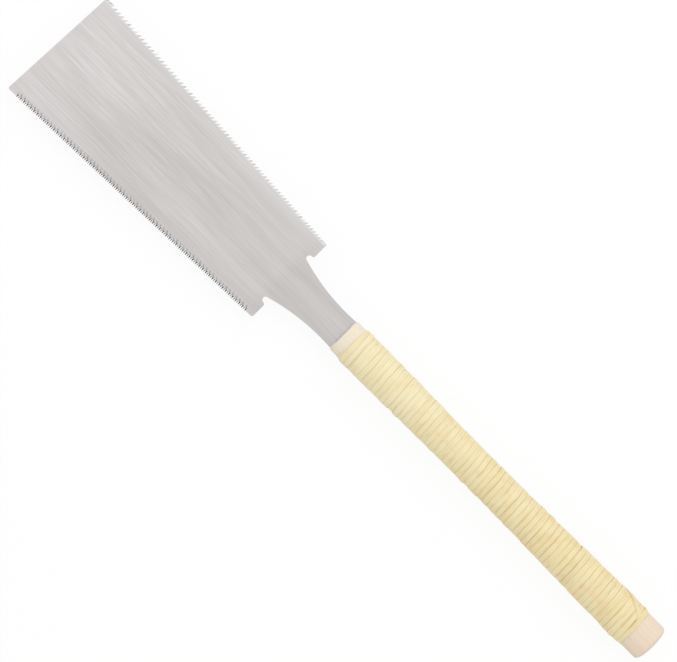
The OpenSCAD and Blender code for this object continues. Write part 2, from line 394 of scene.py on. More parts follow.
@dataclass(frozen=True)
class EdgeTone:
    """Painted light and shade along one toothed edge, even or in step with the teeth bevelled on that face;
    it stands for highlights, shade and dark reflections there.
    """

    heel: Pair
    tip: Pair
    colour: Colour
    reach: float
    soft: float
    even: float
    beat: float = 0.0
    first_tooth: float = 0.0
    last_tooth: float = 0.0
    pitch: float = 1.0
    lean: float = 0.0
    uneven: float = 0.0
    chance_rate: float = 0.7
    chance_seed: float = 5.0
    chance_span: Pair = (0.3, 0.7)

    def mask(self, x: Signal, y: Signal, facing: Signal) -> Signal:
        """Says how far the painted light and shade shows.

        Args:
            x: Place along the saw.
            y: Place across the saw.
            facing: Upward part of the normal, which is negative on the underside.

        Returns:
            The share of the tone, from 0 to 1.
        """
        way = (Vector(self.tip) - Vector(self.heel)).normalized()
        away_x = x - self.heel[0]
        away_y = y - self.heel[1]
        along = away_x * way.x + away_y * way.y
        inside = abs(away_x * -way.y + away_y * way.x)
        near = inside.fade(self.reach + self.soft, self.reach)
        tooth = (along + inside * self.lean - self.first_tooth) * (1 / self.pitch)
        shifted = tooth + facing.apply("LESS_THAN", 0.0)
        wave = (shifted * math.pi).apply("COSINE")
        level = (wave * self.beat).apply("ADD", self.even, clamp=True)
        if self.last_tooth > 0:
            past_heel = along.fade(self.first_tooth - self.pitch, self.first_tooth)
            before_tip = along.fade(self.last_tooth + self.pitch, self.last_tooth)
            near = near * past_heel * before_tip
        chance = (tooth * self.chance_rate).drift(self.chance_seed)
        return near * level * chance.fade(*self.chance_span, 1.0 - self.uneven)


@dataclass(frozen=True)
class GroundSteel(Finish):
    """Steel ground lengthwise; faces tilted like the teeth's bevels take a painted dark reflection, and the
    edges, the neck and the tip can take painted light and shade; lengths in metres.
    """

    dark: Colour
    bright: Colour
    # Colour of faces tilted like the bevels: a painted dark reflection.
    filed: Colour
    # Painted light, shade and dark reflections along the toothed edges.
    edges: tuple[EdgeTone, ...] = ()
    neck_to: float = 0.0
    neck_soft: float = 14 * MM
    neck_drop: float = 0.13
    neck_run: float = 150 * MM
    neck_lines: float = 0.5
    plate_lines: float = 0.95
    polished_from: float = math.inf
    polish_run: float = 90 * MM
    polish_lift: float = 0.215
    line: Pair = (32 * MM, 0.8 * MM)
    band: Pair = (200 * MM, 14 * MM)
    band_share: float = 0.75
    base_tone: float = 0.08
    bend_run: float = 90 * MM
    bend_reach: float = 2.5 * MM
    bend_seed: float = 3.7
    leaning: Pair = (0.98, 0.9)
    upright: Pair = (0.1, 0.4)
    roughness: float = 0.36
    rough_play: float = 0.1
    relief_depth: float = 0.004 * MM

    def make(self) -> bpy.types.Material:
        """Builds the material on Object coordinates, with the lines along X.

        Returns:
            The material.
        """
        material, bench = self.start()
        x, y, z = bench.spot()
        bend = (x / self.bend_run).drift(self.bend_seed) * self.bend_reach
        lines, bands = FibreLines.place(bench, x, y + bend, z, *self.line, *self.band)
        clear = x.fade(self.neck_to, self.neck_to + self.neck_run, self.neck_lines, self.plate_lines)
        tone = (lines - 0.5) * clear + bands * self.band_share + self.base_tone
        # Lighter towards the tip: painted light.
        if math.isfinite(self.polished_from):
            lit_tip_to = self.polished_from + self.polish_run
            tone += x.fade(self.polished_from, lit_tip_to, 0.0, self.polish_lift)
        # Darker neck near the handle: painted shade.
        if self.neck_to > 0:
            tone += x.fade(self.neck_to, self.neck_to + self.neck_soft, -self.neck_drop, 0.0)
        steel = tone.blend(self.dark, self.bright)
        facing = bench.out("ShaderNodeNewGeometry", output="True Normal").parts()[2]
        # Each toothed edge adds its painted light and shade.
        for edge in self.edges:
            steel = edge.mask(x, y, facing).blend(steel, edge.colour)
        # Faces tilted like the teeth's bevels take the bevel colour, a painted dark reflection.
        level = abs(facing)
        reflecting_bevels = level.fade(*self.leaning) * level.fade(*self.upright)
        self.coat(lines, self.relief_depth, {
            "Base Color": reflecting_bevels.blend(steel, self.filed),
            "Roughness": lines * self.rough_play + (self.roughness - self.rough_play / 2),
            "Metallic": 1.0,
        })
        return material


@dataclass(frozen=True)
class SandedWood(Finish):
    """Bare sanded softwood with growth rings, fine fibres and pores; lengths in metres."""

    early: Colour
    late: Colour
    butt_early: Colour
    butt_late: Colour
    pith: Pair
    ring: float = 2.1 * MM
    ring_bend: float = 2.4 * MM
    late_power: float = 3.0
    late_share: float = 0.4
    fibre: Pair = (22 * MM, 0.35 * MM)
    figure: Pair = (140 * MM, 9 * MM)
    fibre_share: float = 0.5
    base_tone: float = -0.1
    butt_span: Pair = (60 * MM, 10 * MM)
    butt_share: float = 0.85
    pore_slimness: float = 0.12
    pore_size: float = 0.5 * MM
    pore_rarity: float = 0.68
    pore_tone: float = 0.07
    pore_depth: float = 0.6
    roughness: float = 0.62
    rough_play: float = 0.12
    gloss: float = 0.3
    relief_depth: float = 0.02 * MM

    def make(self) -> bpy.types.Material:
        """Builds the material on Object coordinates, so that side grain and end grain belong together.

        Returns:
            The material.
        """
        material, bench = self.start()
        x, y, z = bench.spot()
        fibres, figure = FibreLines.place(bench, x, y, z, *self.fibre, *self.figure)
        reach = (y - self.pith[0]).length(z - self.pith[1]) + figure * self.ring_bend
        wave = (reach * (FULL_TURN / self.ring)).apply("SINE")
        late = (wave * 0.5 + 0.5).apply("POWER", self.late_power)
        grain = late * self.late_share + fibres * self.fibre_share
        grain = grain.apply("ADD", self.base_tone, clamp=True)
        wood = grain.blend(self.early, self.late)
        butt = grain.blend(self.butt_early, self.butt_late)
        wood = x.fade(*self.butt_span, 0.0, self.butt_share).blend(wood, butt)
        (pores,) = Specks.place(bench, x * self.pore_slimness, y, z, self.pore_size, self.pore_rarity)
        self.coat(fibres - pores * self.pore_depth, self.relief_depth, {
            "Base Color": wood.shade(1.0 - pores * self.pore_tone),
            "Roughness": fibres * self.rough_play + self.roughness,
            "Specular IOR Level": self.gloss,
        })
        return material


class Chance(Enum):
    """Random lines along the strip: changes in a turn, and distance of the line's seed from the run's."""

    WANDER = (1.3, 0.0)
    RIPPLE = (7.3, 31.0)
    SWELL = (2.1, 7.0)
    ROLL = (0.9, 23.0)
    EDGE = (2.3, 77.0)
    JOINT = (1.7, 51.0)

    def at(self, turn: Signal, seed: Value) -> Signal:
        """Random value from 0 to 1 at a turn of a run with this seed."""
        rate, offset = self.value
        return (turn * rate).drift(seed + offset)

    def either_way(self, turn: Signal, seed: Value) -> Signal:
        """Random value from -0.5 to 0.5 at a turn of a run with this seed."""
        return self.at(turn, seed) - 0.5


@dataclass(frozen=True)
class JointPlan:
    """Where the joints between the turns stand open, which the strip and its finish both ask."""

    open_span: Pair = (0.42, 0.7)
    gape_rise: Pair = (-0.26, -0.12)
    gape_fall: Pair = (-0.04, -0.09)
    gape: float = 1.8

    def openness(self, at: Signal, seed: Value) -> Signal:
        """Says how open the joint between two turns is.

        Args:
            at: Turn of the strip that lies behind the joint.
            seed: Seed of the run.

        Returns:
            The openness from 0 to 1, and more in the first turn, which gapes where the tail leaves it.
        """
        chance = Chance.JOINT.at(at, seed).fade(*self.open_span)
        gape = at.fade(*self.gape_rise) * at.fade(*self.gape_fall) * self.gape
        return chance + gape


@dataclass(frozen=True)
class CaneSkin(Finish):
    """Split rattan with its glossy skin, with painted shade in its creases and beside its joints; lengths
    along the strip in turns, across it in half widths.
    """

    pale: Colour
    mid: Colour
    brown: Colour
    # Colour of the painted shade in the creases and beside the joints.
    edge: Colour
    pale_span: Pair
    seed: float
    joints: JointPlan
    pale_share: float = 0.5
    fibre: Pair = (0.35, 0.22)
    stripe: Pair = (0.5, 1.1)
    stretch_rate: float = 2.4
    stretch_seed: float = 4.2
    stretch_detail: float = 2.0
    stretch_span: Pair = (0.25, 0.75)
    yellow: Pair = (0.3, 0.8)
    blotch: Triple = (13 * MM, 10 * MM, 10 * MM)
    blotch_span: Pair = (0.5, 0.72)
    stain: Pair = (0.44, 0.22)
    crease_width: float = 0.03
    crease_tone: float = 0.3
    crease_depth: float = 0.8
    rim_from: float = 0.35
    closed_tone: float = 0.06
    open_tone: float = 0.34
    front_tone: float = 0.45
    front_lead: float = 0.6
    top_span: Pair = (4 * MM, 11 * MM)
    top_tone: Pair = (0.9, 0.5)
    scar_slimness: float = 5.0
    scar_size: float = 0.55
    scar_rarity: float = 0.76
    scar_tone: float = 0.35
    scar_depth: float = 0.4
    least_level: float = 0.94
    level_play: float = 0.12
    least_rough: float = 0.36
    rough_play: float = 0.14
    gloss: float = 0.4
    relief_depth: float = 0.04 * MM

    def joint_tone(self, at: Signal) -> Signal:
        """Says how much painted shade the strip gets beside a joint: more where the joint is open, less
        towards the front.

        Args:
            at: Turn of the strip that lies behind the joint.

        Returns:
            The share of the painted shade.
        """
        pale_from, pale_to = self.pale_span
        tone = self.joints.openness(at, self.seed) * self.open_tone + self.closed_tone
        return tone * at.fade(pale_from * self.front_lead, pale_to, 1.0, self.front_tone)

    def make(self) -> bpy.types.Material:
        """Builds the material on the strip's own run and width.

        Returns:
            The material.
        """
        material, bench = self.start()
        run = bench.out("ShaderNodeAttribute", attribute_name=STRIP_RUN, output="Fac")
        across = bench.out("ShaderNodeAttribute", attribute_name=STRIP_ACROSS, output="Fac")
        fibres, stripes = FibreLines.place(bench, run, across, 0.0, *self.fibre, *self.stripe)
        stretch = (run * self.stretch_rate).drift(self.stretch_seed, self.stretch_detail)
        paler = run.fade(*self.pale_span, 0.0, self.pale_share)
        yellow = stretch.fade(*self.stretch_span, *self.yellow).apply("SUBTRACT", paler, clamp=True)
        cane = yellow.blend(self.pale, self.mid)
        spot = bench.spot()
        blotch = bench.vector(*(at / size for at, size in zip(spot, self.blotch))).mottle()
        stain = blotch.fade(*self.blotch_span) * run.fade(*self.pale_span, *self.stain)
        cane = stain.blend(cane, self.brown)
        # Creases along the strip: dented by the relief and darkened with painted shade.
        crease = abs(stripes - 0.5).fade(self.crease_width, 0.0)
        cane = (crease * self.crease_tone).blend(cane, self.edge)
        # Painted shade beside the joints, where the valleys between turns fall; fainter on the sides of the
        # handle.
        front_shade_rim = across.fade(self.rim_from, 1.0) * self.joint_tone(run)
        rear_shade_rim = across.fade(-self.rim_from, -1.0) * self.joint_tone(run - 1.0)
        joint_shade_by_side = abs(spot[1]).fade(*self.top_span, *self.top_tone)
        cane = ((front_shade_rim + rear_shade_rim) * joint_shade_by_side).blend(cane, self.edge)
        slim_run = run * self.scar_slimness
        (scars,) = Specks.place(bench, slim_run, across, 0.0, self.scar_size, self.scar_rarity)
        cane = (scars * self.scar_tone).blend(cane, self.brown)
        height = fibres - crease * self.crease_depth - scars * self.scar_depth
        self.coat(height, self.relief_depth, {
            "Base Color": cane.shade(fibres * self.level_play + self.least_level),
            "Roughness": fibres * self.rough_play + self.least_rough,
            "Specular IOR Level": self.gloss,
        })
        return material


@dataclass
class HandleShape:
    """Outline of the wooden handle in metres, which the wood and the winding share."""

    length: float
    front_width: float = 28.2 * MM
    waist_width: float = 25.7 * MM
    butt_width: float = 30.2 * MM
    waist_thickness: float = 19.8 * MM
    waist_from_front: float = 137 * MM
    front_round: float = 1 * MM
    butt_round: float = 3.5 * MM
    butt_reach: float = 8 * MM

    @property
    def oval(self) -> float:
        """Thickness of a section for each unit of its width."""
        return self.waist_thickness / self.waist_width

    @property
    def waist_x(self) -> float:
        """Place of the waist along the handle."""
        return self.length - self.waist_from_front

    def half_width(self, x: float) -> float:
        """Half width of the wood, a cosine sweep from the waist to each end.

        Args:
            x: Distance from the butt.

        Returns:
            Half the width there.
        """
        in_front = x > self.waist_x
        end_width = self.front_width if in_front else self.butt_width
        span = self.waist_from_front if in_front else self.waist_x
        part = min(1.0, abs(x - self.waist_x) / span)
        sweep = (1 - math.cos(math.pi * part)) / 2
        return (self.waist_width + (end_width - self.waist_width) * sweep) / 2


def closed_mesh(work: bmesh.types.BMesh, name: str) -> bpy.types.Mesh:
    """Turns finished mesh work into a mesh.

    Args:
        work: The work, which is freed.
        name: Name of the mesh.

    Returns:
        The mesh.
    """
    mesh = bpy.data.meshes.new(name)
    work.to_mesh(mesh)
    work.free()
    return mesh


def new_piece(data: bpy.types.ID) -> bpy.types.Object:
    """Puts a mesh, lamp or camera in the scene as an object at the origin.

    Args:
        data: The mesh, lamp or camera, which gives the object its name.

    Returns:
        The object.
    """
    piece = bpy.data.objects.new(data.name, data)
    bpy.context.scene.collection.objects.link(piece)
    return piece


def plain_mesh(piece: bpy.types.Object, name: str) -> bpy.types.Mesh:
    """Turns an object with its modifiers into a plain mesh and removes the object.

    Args:
        piece: Object to evaluate.
        name: Name of the new mesh.

    Returns:
        The mesh, with nothing left to evaluate.
    """
    graph = bpy.context.evaluated_depsgraph_get()
    graph.update()
    ready = piece.evaluated_get(graph)
    mesh = bpy.data.meshes.new_from_object(ready, preserve_all_data_layers=True, depsgraph=graph)
    mesh.name = name
    bpy.data.objects.remove(piece)
    return mesh


def dress_node(node: str, material: bpy.types.Material) -> None:
    """Gives a solid of the frame its finish.

    Args:
        node: Name of the solid.
        material: Its finish.
    """
    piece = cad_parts[node]
    piece.data.materials.clear()
    piece.data.materials.append(material)
    log.info("%s: %d faces of the solid, %s", node, len(piece.data.polygons), material.name)


@dataclass
class BladePlate:
    """The toothed plate with its neck and tang; the teeth and bevels of its solid are already true."""

    front_x: float
    neck_length: float = 55.1 * MM
    plate_length: float = 239.9 * MM
    heel_width: float = 75.1 * MM
    heel_skew: float = 1.2 * MM
    tip_width: float = 96.6 * MM
    tip_shift: float = 2.1 * MM
    tip_skew: float = 4.4 * MM
    first_tooth: float = 7.1 * MM
    crosscut_teeth: int = 139
    crosscut_step: float = 1.6356 * MM
    rip_step: float = 2.2 * MM
    # Where the painted light towards the tip starts.
    polished_from: float = 505 * MM

    def corner(self, side: int, at_tip: bool) -> Pair:
        """Finds one corner of the plate.

        Args:
            side: -1 for the rip edge and 1 for the crosscut edge.
            at_tip: True at the tip and False at the heel.

        Returns:
            Its place along and across the saw.
        """
        heel_x = self.front_x + self.neck_length
        if at_tip:
            tip_x = heel_x + self.plate_length
            return tip_x + side * self.tip_skew / 2, side * self.tip_width / 2 - self.tip_shift
        return heel_x + side * self.heel_skew / 2, side * self.heel_width / 2

    def finish(self) -> GroundSteel:
        """Plans the finish: painted dark reflections above the crosscut teeth, painted light along the rip
        teeth, painted shade at the neck and painted light towards the tip.

        Returns:
            The finish.
        """
        crosscut = {
            "heel": self.corner(1, False), "tip": self.corner(1, True), "lean": -0.4,
            "first_tooth": self.first_tooth, "pitch": self.crosscut_step,
            "last_tooth": self.first_tooth + (self.crosscut_teeth - 1) * self.crosscut_step,
        }
        rip = {"heel": self.corner(-1, False), "tip": self.corner(-1, True)}
        # Dark band in step with the crosscut teeth: painted dark reflection that widens the bevels' own.
        filed = EdgeTone(colour=paint(128, 127, 126), reach=3.1 * MM, soft=1.6 * MM, even=0.2,
                         beat=0.46, uneven=0.6, **crosscut)
        # Dark crosscut tooth points: painted dark reflection.
        points = EdgeTone(colour=paint(50, 49, 48), reach=1 * MM, soft=0.8 * MM, even=0.95,
                          beat=0.3, uneven=0.3, **crosscut)
        # Lighter band along the rip edge: painted light from the lamp over the rip side.
        rip_side_light = EdgeTone(colour=paint(220, 219, 217), reach=3 * MM, soft=9 * MM, even=0.42, **rip)
        # Lighter rip tooth points: painted highlight.
        rip_point_highlight = EdgeTone(colour=paint(250, 250, 248), reach=1.2 * MM, soft=1.7 * MM, even=0.55, **rip)
        # Darker lines along the backs of the rip teeth: painted shade.
        rip_tooth_shade = EdgeTone(colour=paint(140, 139, 138), reach=1 * MM, soft=1.2 * MM, even=0.4,
                             uneven=1.0, pitch=self.rip_step, lean=-1.0, **rip)
        return GroundSteel(
            "blade_ground_steel",
            dark=paint(194, 190, 188), bright=paint(234, 230, 229), filed=paint(74, 73, 72),
            edges=(filed, points, rip_side_light, rip_point_highlight, rip_tooth_shade),
            neck_to=self.front_x + self.neck_length, polished_from=self.polished_from,
        )

    def build(self) -> None:
        """Dresses the solid."""
        dress_node("blade", self.finish().make())


@dataclass
class BladeHolder:
    """The folded sheath, its stop rivet and the two cross pins inside the handle."""

    sheath: GroundSteel
    pin: GroundSteel

    def build(self) -> None:
        """Dresses the four solids."""
        dress_node("blade_sheath", self.sheath.make())
        pin = self.pin.make()
        for node in ("stop_rivet", "front_cross_pin", "rear_cross_pin"):
            dress_node(node, pin)


@dataclass
class WoodenHandle:
    """The two wooden halves, with the pocket for the sheath between them."""

    shape: HandleShape
    finishes: dict[Half, SandedWood]
    pocket_clear: float = 0.1 * MM
    head_clear: float = 0.3 * MM
    pin_clear: float = 0.03 * MM
    overshoot: float = 1 * MM
    sides: int = 72
    body_rings: int = 56
    round_rings: int = 8
    hole_sides: int = 48
    most_corners: int = 4
    least_edge: float = 0.001 * MM
    sharp_deg: float = 40.0

    def stations(self) -> list[Pair]:
        """Places along the handle with the half width at each, with both end edges rounded.

        Returns:
            Pairs of distance from the butt and half width.
        """
        shape = self.shape
        edge = shape.front_round
        quarter = [math.pi / 2 * i / self.round_rings for i in range(self.round_rings + 1)]
        butt_half = shape.half_width(shape.butt_round)
        front_half = shape.half_width(shape.length)
        butt = [
            (shape.butt_round * (1 - math.cos(t)), butt_half - shape.butt_reach * (1 - math.sin(t)))
            for t in quarter
        ]
        run = shape.length - edge - shape.butt_round
        places = [shape.butt_round + run * i / self.body_rings for i in range(1, self.body_rings)]
        front = [
            (shape.length - edge * (1 - math.sin(t)), front_half - edge * (1 - math.cos(t)))
            for t in quarter
        ]
        return butt + [(x, shape.half_width(x)) for x in places] + front

    def half_solid(self, half: Half) -> bpy.types.Mesh:
        """Makes one half before its pocket and holes are cut.

        Args:
            half: Which half.

        Returns:
            A closed mesh on one side of the blade's plane.
        """
        work = bmesh.new()
        angles = [math.pi * i / self.sides for i in range(self.sides + 1)]
        rings = []
        for x, reach in self.stations():
            rings.append([
                work.verts.new((x, reach * math.cos(t), half.value * self.shape.oval * reach * math.sin(t)))
                for t in angles
            ])
        for near, far in zip(rings, rings[1:]):
            for i in range(self.sides):
                work.faces.new((near[i], near[i + 1], far[i + 1], far[i]))
            work.faces.new((near[-1], near[0], far[0], far[-1]))
        work.faces.new(rings[0])
        work.faces.new(rings[-1])
        bmesh.ops.recalc_face_normals(work, faces=work.faces)
        return closed_mesh(work, f"{half.node}_blank")

    def cutters(self) -> list[bpy.types.Object]:
        """Makes the shapes of the pocket, the rivet's recess and the two pin holes from the solids in them.

        Returns:
            Objects to cut with.
        """
        low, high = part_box("blade_sheath")
        clear = Vector((self.pocket_clear,) * 3)
        low = low - clear
        high = high + clear
        high.x += self.overshoot
        found = [self.box_cutter(low, high)]
        for node, gap, deep in (
            ("stop_rivet", self.head_clear, self.pocket_clear),
            ("front_cross_pin", self.pin_clear, self.overshoot),
            ("rear_cross_pin", self.pin_clear, self.overshoot),
        ):
            low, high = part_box(node)
            radius = (high.x - low.x) / 2 + gap
            found.append(self.round_cutter((low + high) / 2, radius, high.z - low.z + 2 * deep))
        return found

    @staticmethod
    def box_cutter(low: Vector, high: Vector) -> bpy.types.Object:
        """Makes a box to cut with.

        Args:
            low: Corner with the lowest coordinates.
            high: Corner with the highest coordinates.

        Returns:
            The box.
        """
        work = bmesh.new()
        place = Matrix.Translation((low + high) / 2) @ Matrix.Diagonal((*(high - low), 1.0))
        bmesh.ops.create_cube(work, size=1.0, matrix=place)
        return new_piece(closed_mesh(work, "cutter"))

    def round_cutter(self, middle: Vector, radius: float, height: float) -> bpy.types.Object:
        """Makes an upright cylinder to cut with.

        Args:
            middle: Its middle.
            radius: Its radius.
            height: Its height.

        Returns:
            The cylinder.
        """
        work = bmesh.new()
        bmesh.ops.create_cone(
            work, cap_ends=True, segments=self.hole_sides, radius1=radius, radius2=radius, depth=height,
            matrix=Matrix.Translation(middle),
        )
        return new_piece(closed_mesh(work, "cutter"))

    def split_faces(self, mesh: bpy.types.Mesh) -> None:
        """Splits the many-cornered faces that the cuts leave into well-shaped triangles.

        Args:
            mesh: Mesh of one half, which is changed in place.
        """
        work = bmesh.new()
        work.from_mesh(mesh)
        bmesh.ops.dissolve_degenerate(work, dist=self.least_edge, edges=work.edges)
        large = [face for face in work.faces if len(face.verts) > self.most_corners]
        bmesh.ops.triangulate(work, faces=large, ngon_method="BEAUTY")
        work.to_mesh(mesh)
        work.free()

    def build(self) -> None:
        """Makes both halves, cuts their hollows and dresses them."""
        tools = self.cutters()
        for half in Half:
            blank = new_piece(self.half_solid(half))
            for tool in tools:
                cut = blank.modifiers.new(tool.name, "BOOLEAN")
                cut.object = tool
                cut.operation = "DIFFERENCE"
                cut.solver = "EXACT"
            mesh = plain_mesh(blank, f"{half.name.lower()}_wood")
            self.split_faces(mesh)
            mesh.shade_smooth()
            mesh.set_sharp_from_angle(angle=math.radians(self.sharp_deg))
            mesh.materials.clear()
            mesh.materials.append(self.finishes[half].make())
            piece = new_piece(mesh)
            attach(piece, Body.HANDLE.value)
            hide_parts(half.node)
            log.info("%s: %d faces", piece.name, len(mesh.polygons))
        for tool in tools:
            bpy.data.objects.remove(tool)


@dataclass
class StripRun:
    """One run of rattan strip round the handle; lengths in metres, turns counted from the rear."""

    name: str
    start_angle: float
    first_turn: float
    last_turn: float
    start_x: float
    advance: float
    spacing: float
    rear_x: float
    front_x: float
    front_slant: float
    seat: float
    thickness: float
    hold: float = -1.0
    hold_soft: float = 0.06
    spread: float = 0.0
    swell: float = 1.1
    top_swell: float = 0.25
    end_height: float = 0.35
    end_reach: float = 3.5 * MM
    wander: float = 0.65 * MM
    ripple: float = 0.4 * MM
    least_gap: float = 0.015 * MM
    gap_play: float = 0.09 * MM
    least_edge: float = 0.62
    edge_play: float = 0.45
    most_edge: float = 0.94
    close_from: float = 18.0
    close_to: float = 44.0
    close_share: float = 0.4
    snug_share: float = 0.5
    tilt: float = 0.28 * MM
    taper_turns: float = 0.06
    taper_height: float = 0.25
    least_width: float = 0.15 * MM
    squareness: float = 0.95
    seed: float = 17.0


class StripForm:
    """Bends a straight unit tube into a wound strip, inside one Geometry Nodes tree.

    The edges of the strip lie half a gap from lines between the turns, and both turns beside
    a line read the same line and the same gap, so that no two turns ever meet.
    """

    SNUG_SPAN = (0.3, 0.9)

    def __init__(self, bench: Bench, size: SimpleNamespace, joints: JointPlan) -> None:
        """Reads the tube's points and works out the turn that each belongs to.

        Args:
            bench: Bench of the tree.
            size: Inputs of the tree.
            joints: Where the joints between the turns stand open.
        """
        self.size = size
        self.joints = joints
        unit_x, unit_y, unit_z = bench.out("GeometryNodeInputPosition").parts()
        self.turn = size.first_turn + (unit_z + 0.5) * (size.last_turn - size.first_turn)
        self.before = self.turn - 1.0
        angle = size.start_angle + self.turn * FULL_TURN
        self.cosine = angle.apply("COSINE")
        self.sine = angle.apply("SINE")
        section = unit_y.apply("ARCTAN2", unit_x)
        self.across = section.apply("COSINE").signed_power(size.squareness)
        self.rise = section.apply("SINE").signed_power(size.squareness)

    def edge_line(self, at: Signal, side: float) -> Signal:
        """Lays one edge of the strip half a gap from the line between two turns.

        Args:
            at: Turn of the strip that lies behind the line.
            side: 1 for the front edge and -1 for the rear edge.

        Returns:
            Place of the edge along the handle.
        """
        size = self.size
        wander = Chance.WANDER.either_way(at, size.seed) * size.wander * 2.0
        ripple = Chance.RIPPLE.either_way(at, size.seed) * size.ripple * 2.0
        close = at.fade(size.close_from, size.close_to, 1.0, size.close_share)
        snug = abs(self.cosine).fade(*self.SNUG_SPAN, 1.0, size.snug_share)
        gap = size.least_gap + self.joints.openness(at, size.seed) * size.gap_play * close * snug
        gone = (self.turn - size.hold).apply("SMOOTH_MAX", 0.0, size.hold_soft)
        middle = size.start_x + gone * size.advance
        bent = gone.fade(0.0, size.hold_soft, 1.0, size.spread + 1.0)
        half_width = size.spacing * bent * (side * 0.5)
        return middle + half_width + wander + ripple + gap * (side * -0.5)

    def along(self) -> Signal:
        """Spreads the points between the two edges of the strip.

        Returns:
            Place of each point along the handle.
        """
        size = self.size
        rear = self.edge_line(self.before, -1.0)
        limit = size.front_x + self.cosine * size.front_slant
        front = self.edge_line(self.turn, 1.0).at_most(limit).at_least(rear + size.least_width)
        half = (front - rear) * 0.5
        return rear + half + half * self.across

    def edge_height(self, at: Signal) -> Signal:
        """Height of the strip's edge at a turn's line, as a share of the strip's thickness."""
        uneven = Chance.EDGE.at(at, self.size.seed) * self.size.edge_play
        return (self.size.least_edge + uneven).at_most(self.size.most_edge)

    def height(self) -> Signal:
        """Height of each point in the section of the strip.

        Returns:
            The height as a share of the strip's thickness.
        """
        to_front = self.across * 0.5 + 0.5
        to_rear = 1.0 - to_front
        edge = self.edge_height(self.turn) * to_front + self.edge_height(self.before) * to_rear
        return edge + self.rise.at_least(0.0) * (1.0 - edge) + self.rise.at_most(0.0) * edge

    def lift(self, x: Signal) -> Signal:
        """Lifts the points off the wood, less at the ends of the run and of the winding.

        Args:
            x: Place along the handle.

        Returns:
            Distance of each point from the wood.
        """
        size = self.size
        into_end = (self.turn - size.first_turn).at_most(size.last_turn - self.turn)
        full = into_end.fade(0.0, size.taper_turns, size.taper_height, 1.0)
        play = size.swell * abs(self.cosine).fade(0.0, 1.0, size.top_swell, 1.0)
        swell = Chance.SWELL.either_way(self.turn, size.seed) * play
        thick = size.thickness * (swell + 1.0) * full
        height = self.height()
        rolled = Chance.ROLL.either_way(self.turn, size.seed) * self.across * height * size.tilt
        level = size.seat * full + thick * height + rolled
        to_end = (x - size.rear_x).at_most(size.front_x - x)
        return level * to_end.fade(0.0, size.end_reach, size.end_height, 1.0)

    def wood_half_width(self, x: Signal) -> Signal:
        """Half width of the wood at a place along it, as in HandleShape.half_width.

        Args:
            x: Distance from the butt.

        Returns:
            Half the width.
        """
        size = self.size
        in_front = x.apply("GREATER_THAN", size.waist_x)
        behind = 1.0 - in_front
        span = in_front * (size.handle_length - size.waist_x) + behind * size.waist_x
        end_width = in_front * size.front_width + behind * size.butt_width
        part = (abs(x - size.waist_x) / span).at_most(1.0)
        sweep = 1.0 - (part * math.pi).apply("COSINE")
        return (size.waist_width + (end_width - size.waist_width) * sweep * 0.5) * 0.5

    def place(self) -> Signal:
        """Works out where each point goes, with the underside pressed level.

        Returns:
            The position.
        """
        x = self.along()
        lift = self.lift(x)
        wide = self.wood_half_width(x)
        thick = wide * self.size.oval
        out_y = self.size.oval * self.cosine
        unit = out_y.length(self.sine)
        y = wide * self.cosine + out_y / unit * lift
        z = thick * self.sine + self.sine / unit * lift
        lowest = (thick + self.size.flat_lift) * -1.0
        return x.bench.vector(x, y, z.at_least(lowest))


